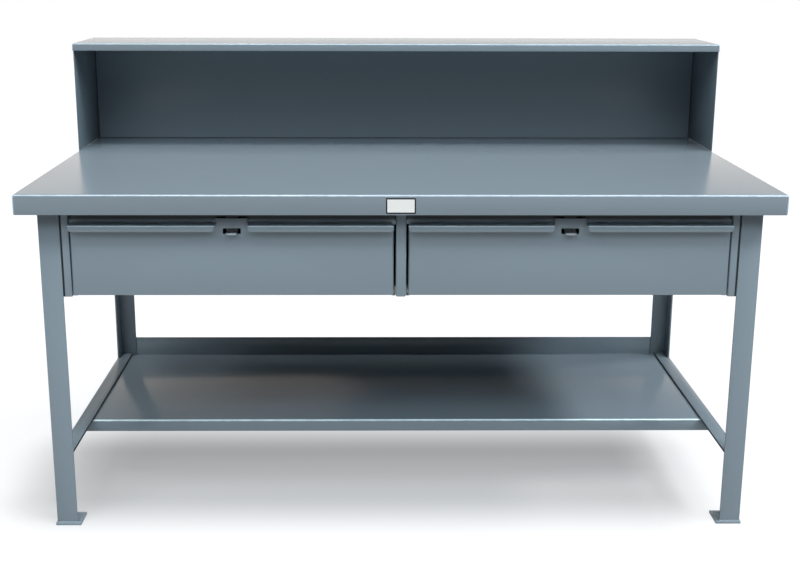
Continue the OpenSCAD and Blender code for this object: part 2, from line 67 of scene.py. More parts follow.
# %% Place the camera
EYE = Vector((-0.07103, -3.20744, 1.40437))
YAW, PITCH, ROLL = math.radians(0.6322), math.radians(-13.7733), math.radians(0.1533)
FILM_WIDTH, LENS = 36.0, 53.6628  # millimetres
SHIFT_X, SHIFT_Y = 0.01943, -0.03860
FARTHEST = 60.0


def camera_axes(yaw, pitch, roll):
    """The camera's right, up and forward directions for a heading, a tilt and a roll."""
    level = math.cos(pitch)
    forward = Vector((math.sin(yaw) * level, math.cos(yaw) * level, math.sin(pitch)))
    right = Vector((math.cos(yaw), -math.sin(yaw), 0.0))
    up = right.cross(forward)
    turned_right = right * math.cos(roll) + up * math.sin(roll)
    turned_up = up * math.cos(roll) - right * math.sin(roll)
    return turned_right, turned_up, forward


camera_data = bpy.data.cameras.new("camera")
camera_data.sensor_fit = "HORIZONTAL"
camera_data.sensor_width = FILM_WIDTH
camera_data.lens = LENS
camera_data.shift_x = SHIFT_X
camera_data.shift_y = SHIFT_Y
camera_data.clip_end = FARTHEST
camera = bpy.data.objects.new("camera", camera_data)
scene.collection.objects.link(camera)
right, up, forward = camera_axes(YAW, PITCH, ROLL)
camera.matrix_world = Matrix((
    (right.x, up.x, -forward.x, EYE.x),
    (right.y, up.y, -forward.y, EYE.y),
    (right.z, up.z, -forward.z, EYE.z),
    (0.0, 0.0, 0.0, 1.0),
))
scene.camera = camera
print("camera at", [round(c, 3) for c in EYE], "lens", camera_data.lens)

# %% [markdown]
# ## Helpers for node trees
# Every finish below is built from nodes. By hand one drags wires between sockets. In a script a few
# small helpers do that and keep the cells short. What they are given may be a plain number or colour,
# or another node's output: `feed` does what is right for each.


# %% Node helpers
def feed(tree, value, socket):
    """Joins a node's output to the socket, or puts a plain value in it."""
    if isinstance(value, bpy.types.NodeSocket):
        tree.links.new(value, socket)
    else:
        socket.default_value = value


def add_node(tree, kind, **values):
    """A new node, with its properties and inputs set by name. A space in a name is written _."""
    node = tree.nodes.new(kind)
    for name, value in values.items():
        if hasattr(node, name):
            setattr(node, name, value)
        else:
            feed(tree, value, node.inputs[name.replace("_", " ")])
    return node


def maths(tree, operation, *numbers, clamp=False):
    """The output of a Math node."""
    node = add_node(tree, "ShaderNodeMath", operation=operation, use_clamp=clamp)
    for number, socket in zip(numbers, node.inputs):
        feed(tree, number, socket)
    return node.outputs[0]


def vectors(tree, operation, first, second):
    """A Vector Math node on two vectors."""
    node = add_node(tree, "ShaderNodeVectorMath", operation=operation)
    feed(tree, first, node.inputs[0])
    feed(tree, second, node.inputs[1])
    return node


def scaled(tree, vector, factor, label=""):
    """A vector or colour times a number."""
    node = add_node(tree, "ShaderNodeVectorMath", operation="SCALE", label=label,
                    Vector=vector, Scale=factor)
    return node.outputs[0]


print("node helpers: feed, add_node, maths, vectors, scaled")

# %% [markdown]
# The next helpers say where a point of a piece lies and mix colours there. They read Object
# coordinates, which stay fixed to the piece when a drawer slides. Generated coordinates would stretch
# with each piece's box, and a bead of weld would get finer noise than the worktop.


# %% Helpers for places, noise and colours
def place_on_piece(tree):
    """The Object coordinates of the point that is shaded, in metres."""
    return tree.nodes.new("ShaderNodeTexCoord").outputs["Object"]


def axes_of(tree, vector):
    """A vector's x, y and z."""
    return add_node(tree, "ShaderNodeSeparateXYZ", Vector=vector).outputs


def noise_at(tree, place, **values):
    """Noise between 0 and 1."""
    return add_node(tree, "ShaderNodeTexNoise", Vector=place, **values).outputs["Fac"]


def swing(tree, noise, amount):
    """Noise as a change of up to half the amount, up and down."""
    return maths(tree, "MULTIPLY", maths(tree, "SUBTRACT", noise, 0.5), amount)


def soft_step(tree, value, start, end, low, high):
    """A smooth step of a value, from low at start to high at end."""
    step = add_node(tree, "ShaderNodeMapRange", interpolation_type="SMOOTHSTEP", Value=value,
                    From_Min=start, From_Max=end, To_Min=low, To_Max=high)
    return step.outputs[0]


def mix_colours(tree, mask, below, above):
    """The colour below where the mask is 0, and the one above where it is 1."""
    mix = add_node(tree, "ShaderNodeMix", data_type="RGBA", Factor=mask, A=below, B=above)
    return mix.outputs["Result"]


print("place helpers: place_on_piece, axes_of, noise_at, swing, soft_step, mix_colours")

# %% [markdown]
# ## The skin of sprayed enamel
# Sprayed enamel is never quite flat. It has orange peel, a ripple of a few millimetres that blurs
# reflections; its colour drifts a little over a hand's width; and it is rubbed a little glossier or
# duller here and there. A photograph of paint would repeat over a table this long, so one node group
# makes all three from noise, and each steel form has its own amount of each.


# %% Group: enamel skin
def new_group(name, inputs, outputs):
    """A shader node group. Gives its tree, the values that it is given and the sockets it puts out."""
    tree = bpy.data.node_groups.new(name, "ShaderNodeTree")
    for label, kind, default in inputs:
        tree.interface.new_socket(label, in_out="INPUT", socket_type=kind).default_value = default
    for label, kind in outputs:
        tree.interface.new_socket(label, in_out="OUTPUT", socket_type=kind)
    return tree, tree.nodes.new("NodeGroupInput").outputs, tree.nodes.new("NodeGroupOutput").inputs


def make_enamel_skin():
    """Gives the drifting colour, the rubbed roughness and the height of the peel."""
    tree, given, out = new_group(
        "enamel skin",
        [
            ("Colour", "NodeSocketColor", (0.2, 0.25, 0.28, 1)),
            ("Drift", "NodeSocketFloat", 0.06),
            ("Drift Scale", "NodeSocketFloat", 5.0),
            ("Roughness", "NodeSocketFloat", 0.3),
            ("Rub", "NodeSocketFloat", 0.08),
            ("Peel Scale", "NodeSocketFloat", 260.0),
        ],
        [("Colour", "NodeSocketColor"), ("Roughness", "NodeSocketFloat"), ("Peel", "NodeSocketFloat")],
    )
    place = place_on_piece(tree)
    clouds = noise_at(tree, place, Scale=given["Drift Scale"], Detail=3.0, Roughness=0.5)
    gain = maths(tree, "ADD", swing(tree, clouds, given["Drift"]), 1.0)
    feed(tree, scaled(tree, given["Colour"], gain), out["Colour"])
    hands = noise_at(tree, place, Scale=9.0, Detail=1.0, Roughness=0.4)
    rubbed = maths(tree, "ADD", given["Roughness"], swing(tree, hands, given["Rub"]), clamp=True)
    feed(tree, rubbed, out["Roughness"])
    feed(tree, noise_at(tree, place, Scale=given["Peel Scale"], Detail=1.5, Roughness=0.4), out["Peel"])
    return tree


enamel_skin = make_enamel_skin()
print("group:", enamel_skin.name, [socket.name for socket in enamel_skin.interface.items_tree])

# %% [markdown]
# ## Pale rims: a painted highlight
# Along the upper rims of a box the group paints a pale band, a painted highlight where the folds catch
# the light, broken by noise. It measures how far a point is from the nearest upper rim of the box: the
# second smallest of its distances to the top, the sides and the ends. The lower rims get no band, so
# the distance to the bottom doesn't count. Noise makes the band wider and narrower, so that it comes
# and goes along the rim. The Bevel node finds rims by itself, but it only works in one renderer and is
# slow.


# %% Group: pale rim highlight
def make_rim_highlight(narrowest=0.6, breaks=0.8, fade=1.5):
    """The band is narrowest to narrowest + breaks times its width. fade over 1 widens its brightest
    part.
    """
    tree, given, out = new_group(
        "pale rim highlight",
        [
            ("Middle", "NodeSocketVector", (0, 0, 0)),
            ("Half Size", "NodeSocketVector", (1, 1, 1)),
            ("Width", "NodeSocketFloat", 0.003),
            ("Break Scale", "NodeSocketFloat", 45.0),
        ],
        [("Mask", "NodeSocketFloat")],
    )
    place = place_on_piece(tree)
    x, y, z = axes_of(tree, vectors(tree, "SUBTRACT", place, given["Middle"]).outputs[0])
    half_x, half_y, half_z = axes_of(tree, given["Half Size"])
    from_side = maths(tree, "SUBTRACT", half_x, maths(tree, "ABSOLUTE", x))
    from_end = maths(tree, "SUBTRACT", half_y, maths(tree, "ABSOLUTE", y))
    from_top = maths(tree, "SUBTRACT", half_z, z)
    near = maths(tree, "MINIMUM", from_side, from_end)
    far = maths(tree, "MAXIMUM", from_side, from_end)
    second = maths(tree, "MAXIMUM", near, maths(tree, "MINIMUM", far, from_top))
    noise = noise_at(tree, place, Scale=given["Break Scale"], Detail=4.0, Roughness=0.6)
    uneven = maths(tree, "ADD", maths(tree, "MULTIPLY", noise, breaks), narrowest)
    share = maths(tree, "DIVIDE", second, maths(tree, "MULTIPLY", given["Width"], uneven))
    # The band is the painted highlight along the rim.
    lit_band = maths(tree, "SUBTRACT", fade, maths(tree, "MULTIPLY", share, fade), clamp=True)
    feed(tree, lit_band, out["Mask"])
    return tree


rim_highlight = make_rim_highlight()
print("group:", rim_highlight.name, [socket.name for socket in rim_highlight.interface.items_tree])

# %% [markdown]
# ## The enamel
# All the painted steel has one grey-blue semi-gloss enamel. The skin group gives its colour, roughness
# and ripple, and a pale rim, a painted highlight, is a paler tint of the same colour. The Principled
# shader stays in each material; only maps come out of the groups.

# %% Enamel material
ENAMEL = (0.195, 0.24, 0.274, 1)


def new_material(name):
    """A material with a Principled shader. Gives the material, its tree and the shader."""
    material = bpy.data.materials.new(name)
    material.use_nodes = True
    return material, material.node_tree, material.node_tree.nodes["Principled BSDF"]


def enamel(name, colour=ENAMEL, rough=0.3, rub=0.04, drift=0.04, peel=0.000015,
           rim_of=None, rim_width=0.0025, highlight_tint=2.0):
    """Semi-gloss enamel. rim_of is the box, as (low, high), whose upper rims get a painted highlight.
    """
    material, tree, shader = new_material(name)
    skin = add_node(tree, "ShaderNodeGroup", node_tree=enamel_skin,
                    Colour=colour, Drift=drift, Roughness=rough, Rub=rub).outputs
    bump = add_node(tree, "ShaderNodeBump", Strength=1.0, Distance=peel, Height=skin["Peel"])
    feed(tree, bump.outputs["Normal"], shader.inputs["Normal"])
    feed(tree, skin["Roughness"], shader.inputs["Roughness"])
    painted = skin["Colour"]
    if rim_of is not None:
        low, high = (Vector(corner) for corner in rim_of)
        rim = add_node(tree, "ShaderNodeGroup", node_tree=rim_highlight,
                       Middle=(low + high) / 2, Half_Size=(high - low) / 2, Width=rim_width)
        # The paler tint along the rim is a painted highlight.
        pale = tuple(min(1.0, c * highlight_tint) for c in colour[:3]) + (1,)
        painted = mix_colours(tree, rim.outputs["Mask"], painted, pale)
    feed(tree, painted, shader.inputs["Base Color"])
    return material


print("enamel colour", ENAMEL[:3])

# %% [markdown]
# ## Enamel for each steel form
# Plate, sheet and angle take the enamel differently. The thick worktop is rubbed glossy, thin folded
# sheet is even, and rolled angle keeps a little of the mill's waviness. The worktop and the riser's
# shelf get a pale painted highlight along their rims all round, and the drawer pulls only in front.
# Angle and the riser's sides get a darker tone, which is painted shade: they look darker on the real
# table than the soft light below would make them.

# %% Plate, sheet, angle and drawer fronts
PLATE_TONE = (0.192, 0.232, 0.264, 1)
# Angle and the riser's sides are darker by painted shade.
ANGLE_SHADE_TONE = (0.184, 0.226, 0.258, 1)
SIDE_SHADE_TONE = (0.17, 0.212, 0.24, 1)
BEYOND = 9.0  # metres, past every piece
PULL_TOP = 0.7844


def front_rim(node, top):
    """A box that reaches far back and to both sides, so that only a piece's front rim counts."""
    return (-BEYOND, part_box(node)[0].y, -BEYOND), (BEYOND, BEYOND, top)


plate_enamel = enamel("enamel on the worktop plate", colour=PLATE_TONE, rough=0.2, rub=0.05, drift=0.03,
                      peel=0.000006, rim_of=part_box("worktop"), rim_width=0.0038, highlight_tint=2.5)
shelf_enamel = enamel("enamel on the riser shelf", rough=0.25, rub=0.02, peel=0.000001,
                      rim_of=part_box("riser_shelf"), rim_width=0.003, highlight_tint=2.4)
sheet_enamel = enamel("enamel on folded sheet", rough=0.3)
front_enamel = enamel("enamel on the drawer fronts", rough=0.26, rub=0.02, drift=0.025,
                      rim_of=front_rim("drawer_front_left", PULL_TOP), rim_width=0.0032, highlight_tint=2.25)
angle_enamel = enamel("enamel with painted shade on rolled angle", colour=ANGLE_SHADE_TONE, rough=0.34, drift=0.05, peel=0.00003)
shaded_side_enamel = enamel("enamel with painted shade on the riser sides", colour=SIDE_SHADE_TONE, rough=0.3)
print("enamels:", [finish.name for finish in bpy.data.materials if finish.name.startswith("enamel")])

# %% [markdown]
# ## Dark seams
# Where two sheets meet, or one is folded sharply, the steel shows a thin dark line. Along the
# stretchers' inner edge the line is painted shade on that edge; in the other joints it is a dark line
# in the joint. A cut groove would be wrong, because the steel is whole, so the line is painted. It
# lies at one place along an axis, the same on both sides of the table's middle. Three finishes have
# such seams, so a group makes the line.


# %% Group: seam line
def make_seam_line(core=0.6):
    """core is the part of the line that is as dark as its middle."""
    tree, given, out = new_group(
        "seam line",
        [
            ("Axis", "NodeSocketVector", (1, 0, 0)),
            ("Place", "NodeSocketFloat", 0.1),
            ("Half Width", "NodeSocketFloat", 0.002),
            ("Depth", "NodeSocketFloat", 0.9),
        ],
        [("Mask", "NodeSocketFloat")],
    )
    along = vectors(tree, "DOT_PRODUCT", place_on_piece(tree), given["Axis"]).outputs["Value"]
    past = maths(tree, "SUBTRACT", maths(tree, "ABSOLUTE", along), given["Place"])
    half = given["Half Width"]
    full = maths(tree, "MULTIPLY", half, core)
    line = soft_step(tree, maths(tree, "ABSOLUTE", past), full, half, given["Depth"], 0.0)
    feed(tree, line, out["Mask"])
    return tree


seam_line = make_seam_line()
print("group:", seam_line.name, [socket.name for socket in seam_line.interface.items_tree])

# %% [markdown]
# The lower shelf is the glossiest sheet. It has a painted highlight along its front lip and a dark
# line where its upstand is folded up. The stretchers have a line of painted shade along their inner
# edge, under the shelf. The riser's back has a dark line along its foot and one in each corner.

# %% Enamel with seams
# Near black: painted shade in the recess, the grooves and on the stretchers' edge, and dark joints
# elsewhere.
SHADE_AND_JOINT_BLACK = (0.008, 0.01, 0.012, 1)
ACROSS, DEEPER, HIGHER = (1, 0, 0), (0, 1, 0), (0, 0, 1)
SHELF_LIP = 0.0325
FOLD_RADIUS = 0.0042


def copy_finish(finish, name):
    """The same finish under a name of its own, so that one piece's can be changed."""
    copy = finish.copy()
    copy.name = name
    return copy


def paint_over(material, mask, colour):
    """Mixes a colour over what the material already paints, where the mask is 1."""
    tree = material.node_tree
    base = tree.nodes["Principled BSDF"].inputs["Base Color"]
    feed(tree, mix_colours(tree, mask, base.links[0].from_socket, colour), base)


def add_seams(material, *seams):
    """Adds dark lines, each given by its axis, its place on it and half its width."""
    tree = material.node_tree
    masks = [add_node(tree, "ShaderNodeGroup", node_tree=seam_line, Axis=axis, Place=place,
                      Half_Width=half).outputs["Mask"] for axis, place, half in seams]
    mask = masks[0]
    for other in masks[1:]:
        mask = maths(tree, "MAXIMUM", mask, other)
    paint_over(material, mask, SHADE_AND_JOINT_BLACK)
    return material


shelf_low, shelf_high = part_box("lower_shelf")
bed_enamel = add_seams(
    enamel("enamel on the lower shelf", rough=0.16, rub=0.05, drift=0.03,
           rim_of=front_rim("lower_shelf", shelf_low.z + SHELF_LIP), rim_width=0.0045, highlight_tint=4.0),
    (DEEPER, shelf_high.y - FOLD_RADIUS, 0.0018))
# The stretchers' line is painted shade on their inner edge.
stretcher_enamel = add_seams(
    copy_finish(angle_enamel, "enamel on the stretchers"),
    (ACROSS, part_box("stretcher_right")[0].x, 0.0022))
riser_back_enamel = add_seams(
    copy_finish(sheet_enamel, "enamel on the riser's back"),
    (HIGHER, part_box("riser_back")[0].z, 0.0025), (ACROSS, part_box("riser_side_right")[0].x, 0.003))
print("with seams:", [finish.name for finish in (bed_enamel, stretcher_enamel, riser_back_enamel)])

# %% [markdown]
# ## Painted light and shade in the recess over the drawers
# Behind the pulls the recess is painted with light and shade. Above a height its steel goes from
# enamel to near black within a few millimetres: painted shade under the top. Lower down it is painted
# much lighter, and the rest of the recess a little lighter: painted light. Both follow the height
# alone, so two smooth steps of z are enough.

# %% Recess enamel
PAINTED_LIGHT_BELOW, PAINTED_SHADE_ABOVE = 0.788, 0.798


def recess_light_and_shade(name, light_below, shade_above, blend=0.007, rubbed=2.4, gain_above=1.3):
    """Enamel with painted light, paler below a height, and painted shade, near black above another."""
    material = enamel(name, rough=0.4)
    tree = material.node_tree
    base = tree.nodes["Principled BSDF"].inputs["Base Color"]
    height = axes_of(tree, place_on_piece(tree))["Z"]
    # The tint is painted light: rubbed is its gain low down, gain_above its gain higher up.
    tint = soft_step(tree, height, light_below, light_below + blend, rubbed, gain_above)
    feed(tree, scaled(tree, base.links[0].from_socket, tint), base)
    paint_over(material, soft_step(tree, height, shade_above - blend, shade_above, 0.0, 1.0), SHADE_AND_JOINT_BLACK)
    return material


recess_enamel = recess_light_and_shade("enamel in the recess over the drawers", PAINTED_LIGHT_BELOW, PAINTED_SHADE_ABOVE)
print("made:", recess_enamel.name)

# %% [markdown]
# ## Painted shade in the groove beside the legs
# Each case post folds back against its leg, and the narrow groove between them is in shade. The
# posts have the drawer fronts' enamel, with a band of painted shade, near black, beside the leg that
# ends a little way behind the post's face.


# %% Case post enamel
def groove_shadow(name, outside, front, reach=0.006):
    """The drawer fronts' enamel, with painted shade near the front and within reach of the outside."""
    material = copy_finish(front_enamel, name)
    tree = material.node_tree
    x, y, _ = axes_of(tree, place_on_piece(tree))
    across = maths(tree, "ABSOLUTE", x)
    beside_leg = soft_step(tree, across, outside - reach, outside - reach * 0.75, 0.0, 1.0)
    near_front = soft_step(tree, y, front + reach, front + reach * 2, 1.0, 0.0)
    paint_over(material, maths(tree, "MULTIPLY", beside_leg, near_front), SHADE_AND_JOINT_BLACK)
    return material


post_low, post_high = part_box("case_side_right")
post_enamel = groove_shadow("enamel on the case posts", post_high.x, post_low.y)
print("made:", post_enamel.name)

# %% [markdown]
# ## Bare tips on the hasp tongues
# The tongues come through the drawer fronts to take a padlock. Their paint is near black, which is
# painted shade, and the padlock has rubbed their tips to bare steel. The edge of the paint is ragged,
# so fine noise moves it a little.

# %% Hasp enamel
TONGUE_SHADE = (0.03, 0.034, 0.038, 1)
BARE_STEEL = (0.5, 0.54, 0.6, 1)


def bare_tip(name, tip, reach=0.005, ragged=0.004):
    """Near-black paint, which is painted shade, rubbed to bare steel within reach of the tip."""
    material = enamel(name, colour=TONGUE_SHADE, rough=0.36, drift=0.2)
    tree = material.node_tree
    place = place_on_piece(tree)
    chips = noise_at(tree, place, Scale=160.0, Detail=3.0)
    behind_tip = maths(tree, "ADD", axes_of(tree, place)["Y"], maths(tree, "MULTIPLY", chips, ragged))
    mask = soft_step(tree, behind_tip, tip + reach, tip + reach * 1.6, 1.0, 0.0)
    paint_over(material, mask, BARE_STEEL)
    feed(tree, mask, tree.nodes["Principled BSDF"].inputs["Metallic"])
    return material


hasp_enamel = bare_tip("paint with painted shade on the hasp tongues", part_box("hasp_tongue_left")[0].y)
print("made:", hasp_enamel.name)

# %% [markdown]
# ## Zinc
# The slides, the rivets and the pins are zinc plated: a bright metal with fine lines from the rolling
# mill. The lines are noise squeezed across and stretched along, and soft clouds vary the grey.


# %% Zinc plate
def two_tones(tree, value, dark, light, start=0.0, end=1.0):
    """A colour that goes from dark at start to light at end."""
    ramp = add_node(tree, "ShaderNodeValToRGB", Fac=value)
    first, last = ramp.color_ramp.elements
    first.position, first.color = start, dark
    last.position, last.color = end, light
    return ramp.outputs["Color"]


def zinc_plate(name, rough=0.34, across=900.0, along=12.0):
    """Plated steel. across and along say how often its lines change in a metre."""
    material, tree, shader = new_material(name)
    shader.inputs["Metallic"].default_value = 1.0
    place = place_on_piece(tree)
    squeeze = add_node(tree, "ShaderNodeMapping", Vector=place, Scale=(across, along, across))
    lines = noise_at(tree, squeeze.outputs[0], Scale=1.0, Detail=2.0)
    clouds = noise_at(tree, place, Scale=60.0, Detail=3.0)
    tone = two_tones(tree, clouds, (0.42, 0.43, 0.44, 1), (0.68, 0.69, 0.7, 1))
    feed(tree, tone, shader.inputs["Base Color"])
    polish = maths(tree, "ADD", swing(tree, lines, 0.1), rough, clamp=True)
    feed(tree, polish, shader.inputs["Roughness"])
    bump = add_node(tree, "ShaderNodeBump", Strength=1.0, Distance=0.00002, Height=lines)
    feed(tree, bump.outputs["Normal"], shader.inputs["Normal"])
    return material


zinc = zinc_plate("zinc plated steel")
print("made:", zinc.name)

# %% [markdown]
# ## Nylon
# The rollers are bare nylon, off-white when new. Grease and dust dull them where they run, so fine
# noise darkens some spots and roughens others.


# %% Bare nylon
def bare_nylon(name, cleanest=0.35, dirt=0.2):
    """Nylon with grime in fine spots."""
    material, tree, shader = new_material(name)
    grime = noise_at(tree, place_on_piece(tree), Scale=350.0, Detail=4.0)
    tone = two_tones(tree, grime, (0.62, 0.6, 0.53, 1), (0.86, 0.85, 0.79, 1), start=0.35, end=0.6)
    feed(tree, tone, shader.inputs["Base Color"])
    rough = maths(tree, "ADD", maths(tree, "MULTIPLY", grime, dirt), cleanest)
    feed(tree, rough, shader.inputs["Roughness"])
    return material


nylon = bare_nylon("bare nylon")
print("made:", nylon.name)

# %% [markdown]
# ## The label
# The label is white film with a black border and nothing on it. Its border is drawn by distance from
# the label's middle, which a Mapping node brings to zero.

# %% Label film
FILM_WHITE = (0.72, 0.7, 0.68, 1)
FILM_BLACK = (0.006, 0.006, 0.007, 1)


def label_film(name, low, high, border=0.0034, smoothest=0.3, smudges=0.16):
    """White film whose outer strip, border wide, is black."""
    material, tree, shader = new_material(name)
    place = place_on_piece(tree)
    half = (high - low) / 2
    centre = add_node(tree, "ShaderNodeMapping", vector_type="POINT", Vector=place,
                      Location=tuple(-(low + high) / 2))
    x, _, z = axes_of(tree, centre.outputs[0])
    past_x = maths(tree, "GREATER_THAN", maths(tree, "ABSOLUTE", x), half.x - border)
    past_z = maths(tree, "GREATER_THAN", maths(tree, "ABSOLUTE", z), half.z - border)
    printed = mix_colours(tree, maths(tree, "MAXIMUM", past_x, past_z), FILM_WHITE, FILM_BLACK)
    feed(tree, printed, shader.inputs["Base Color"])
    smudge = noise_at(tree, place, Scale=90.0, Detail=3.0)
    rough = maths(tree, "ADD", maths(tree, "MULTIPLY", smudge, smudges), smoothest)
    feed(tree, rough, shader.inputs["Roughness"])
    return material


label = label_film("blank label film", *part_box("label_plate"))
print("made:", label.name)

# %% [markdown]
# ## Which finish goes where
# A piece's name says what it is made from, so the start of the name picks the finish. The hardware of
# the slides is known by a word inside its name. Everything else is plain folded sheet.

# %% Finish of each piece
FINISH = {
    "worktop": plate_enamel, "lower_shelf": bed_enamel, "label_plate": label,
    "riser_shelf": shelf_enamel, "riser_back": riser_back_enamel, "riser_side": shaded_side_enamel,
    "leg_": angle_enamel, "foot_pad_": angle_enamel, "stretcher_": stretcher_enamel,
    "header_rail": recess_enamel, "case_side": post_enamel, "hasp_": hasp_enamel,
    "drawer_front": front_enamel, "case_divider": front_enamel,
}
HARDWARE = {"rollers_": nylon, "_rail_": zinc, "rivets": zinc, "pins": zinc}


def finish_of(node):
    """The material for a measured piece, from its name."""
    for start, finish in FINISH.items():
        if node.startswith(start):
            return finish
    for word, finish in HARDWARE.items():
        if word in node:
            return finish
    return sheet_enamel


PAINTED = sorted(node for node in nodes if finish_of(node) not in (zinc, nylon, label))
UNPAINTED = sorted(set(nodes) - set(PAINTED))
print(len(PAINTED), "painted pieces,", len(UNPAINTED), "of zinc, nylon or film")

# %% [markdown]
# ## Soft edges on painted steel
# No painted edge is a knife edge: the sheet is sheared, deburred and coated, and the rounding catches
# a thin line of light. The Bevel node only bends the light, and the outline would stay sharp, so each
# painted piece is copied from the measured one, its triangles are merged back to whole faces, and its
# outward edges get a narrow bevel. The copy stands in for the measured piece and fills the same space.

# %% Bevelled copies
THICK_STEEL = ("leg_", "foot_pad_", "stretcher_", "hasp_", "worktop")
THICK_EDGE, THIN_EDGE = 0.0008, 0.0004
SAME_POINT = 1e-6
SAME_FACE = math.radians(0.5)
SHARP_CORNER = math.radians(50)
SHARP_SHADING = math.radians(32)


def is_outward(edge):
    """True for an edge whose two faces meet at a sharp outward corner."""
    return len(edge.link_faces) == 2 and edge.calc_face_angle_signed(0.0) > SHARP_CORNER


def bevelled_mesh(node, width):
    """The measured piece's mesh with whole faces and bevelled outward edges."""
    mesh = bpy.data.meshes.new("soft_" + node)
    work = bmesh.new()
    work.from_mesh(nodes[node].data)
    bmesh.ops.remove_doubles(work, verts=work.verts, dist=SAME_POINT)
    bmesh.ops.dissolve_limit(work, angle_limit=SAME_FACE, verts=work.verts, edges=work.edges)
    bmesh.ops.bevel(work, geom=[edge for edge in work.edges if is_outward(edge)], offset=width,
                    segments=2, profile=0.5, affect="EDGES", clamp_overlap=True)
    bmesh.ops.triangulate(work, faces=[face for face in work.faces if len(face.verts) > 4])
    work.to_mesh(mesh)
    work.free()
    mesh.polygons.foreach_set("use_smooth", [True] * len(mesh.polygons))
    mesh.set_sharp_from_angle(angle=SHARP_SHADING)
    return mesh


def soft_copy(node):
    """A bevelled copy that replaces a measured piece."""
    mesh = bevelled_mesh(node, THICK_EDGE if node.startswith(THICK_STEEL) else THIN_EDGE)
    mesh.materials.append(finish_of(node))
    piece = bpy.data.objects.new("soft_" + node, mesh)
    scene.collection.objects.link(piece)
    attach(piece, body_of[node])
    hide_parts(node)
    return piece


soft_pieces = [soft_copy(node) for node in PAINTED]
print(len(soft_pieces), "painted pieces have soft edges")

# %% [markdown]
# The slides, rollers, rivets, pins and label are right as they were measured. They keep their meshes
# and only get a better finish.

# %% Finish for the measured pieces
for node in UNPAINTED:
    nodes[node].data.materials.clear()
    nodes[node].data.materials.append(finish_of(node))
print(len(UNPAINTED), "pieces shown as measured")

# %% [markdown]
# ## Weld beads
# The frame is welded, and each weld is a row of overlapping ripples. That is a shape that repeats
# along a path, so Geometry Nodes make it: a line is cut into even steps, a small rounded drop is put
# on each step, and the result becomes one plain mesh. Each drop is nearly twice as long as a step, so
# that it overlaps the next, and a fixed seed makes the drops a little unlike each other.

# %% Weld bead tree
OVERLAP = 1.9
SMALLEST, LARGEST = (0.9, 0.85, 0.8), (1.15, 1.12, 1.15)
BEAD_SEED = 7


def drop_size(tree, given):
    """Each drop's length, width and height, from the sizes that are given."""
    length = maths(tree, "MULTIPLY", given["Step"], OVERLAP)
    size = add_node(tree, "ShaderNodeCombineXYZ", X=length, Y=given["Width"], Z=given["Height"])
    wobble = add_node(tree, "FunctionNodeRandomValue", data_type="FLOAT_VECTOR",
                      Min=SMALLEST, Max=LARGEST, Seed=BEAD_SEED)
    return vectors(tree, "MULTIPLY", size.outputs[0], wobble.outputs["Value"]).outputs[0]


def make_bead_tree():
    """Turns a mesh's edges into rows of drops, with the Step, Width and Height that it is given."""
    tree = bpy.data.node_groups.new("weld bead", "GeometryNodeTree")
    tree.interface.new_socket("Geometry", in_out="INPUT", socket_type="NodeSocketGeometry")
    for label, default in (("Step", 0.0025), ("Width", 0.006), ("Height", 0.003)):
        socket = tree.interface.new_socket(label, in_out="INPUT", socket_type="NodeSocketFloat")
        socket.default_value = default
    tree.interface.new_socket("Paint", in_out="INPUT", socket_type="NodeSocketMaterial")
    tree.interface.new_socket("Geometry", in_out="OUTPUT", socket_type="NodeSocketGeometry")
    given = tree.nodes.new("NodeGroupInput").outputs
    path = add_node(tree, "GeometryNodeMeshToCurve", Mesh=given["Geometry"])
    steps = add_node(tree, "GeometryNodeResampleCurve", mode="LENGTH",
                     Curve=path.outputs["Curve"], Length=given["Step"])
    along = tree.nodes.new("GeometryNodeInputTangent").outputs["Tangent"]
    aim = add_node(tree, "FunctionNodeAlignRotationToVector", axis="X", Vector=along)
    drop = add_node(tree, "GeometryNodeMeshUVSphere", Segments=10, Rings=6, Radius=0.5)
    spread = add_node(tree, "GeometryNodeInstanceOnPoints", Points=steps.outputs["Curve"],
                      Instance=drop.outputs["Mesh"], Rotation=aim.outputs["Rotation"],
                      Scale=drop_size(tree, given))
    smooth = add_node(tree, "GeometryNodeSetShadeSmooth", Geometry=spread.outputs["Instances"])
    real = add_node(tree, "GeometryNodeRealizeInstances", Geometry=smooth.outputs["Geometry"])
    paint = add_node(tree, "GeometryNodeSetMaterial", Geometry=real.outputs["Geometry"],
                     Material=given["Paint"])
    feed(tree, paint.outputs["Geometry"], tree.nodes.new("NodeGroupOutput").inputs["Geometry"])
    return tree


bead_tree = make_bead_tree()
print("tree:", bead_tree.name)

# %% [markdown]
# A seam of weld is a list of straight runs. Each run is an edge of a small mesh, and the tree turns
# the edges into beads. The modifier's inputs are set by their identifiers before the mesh is evaluated
# once.


# %% Weld a seam
def weld(name, runs, body, width, height, step=0.0025):
    """Beads along straight runs, each given as a start and an end point in metres."""
    mesh = bpy.data.meshes.new(name + "_path")
    points = [point for run in runs for point in run]
    mesh.from_pydata(points, [(2 * i, 2 * i + 1) for i in range(len(runs))], [])
    path = bpy.data.objects.new(name + "_path", mesh)
    scene.collection.objects.link(path)
    modifier = path.modifiers.new("bead", "NODES")
    modifier.node_group = bead_tree
    sizes = {"Step": step, "Width": width, "Height": height, "Paint": angle_enamel}
    for item in bead_tree.interface.items_tree:
        if item.in_out == "INPUT" and item.name in sizes:
            modifier[item.identifier] = sizes[item.name]
    bpy.context.view_layer.update()
    graph = bpy.context.evaluated_depsgraph_get()
    beads = bpy.data.meshes.new_from_object(path.evaluated_get(graph))
    bpy.data.objects.remove(path)
    piece = bpy.data.objects.new(name, beads)
    scene.collection.objects.link(piece)
    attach(piece, body)
    print(name, len(runs), "runs,", len(beads.polygons), "faces")
    return piece


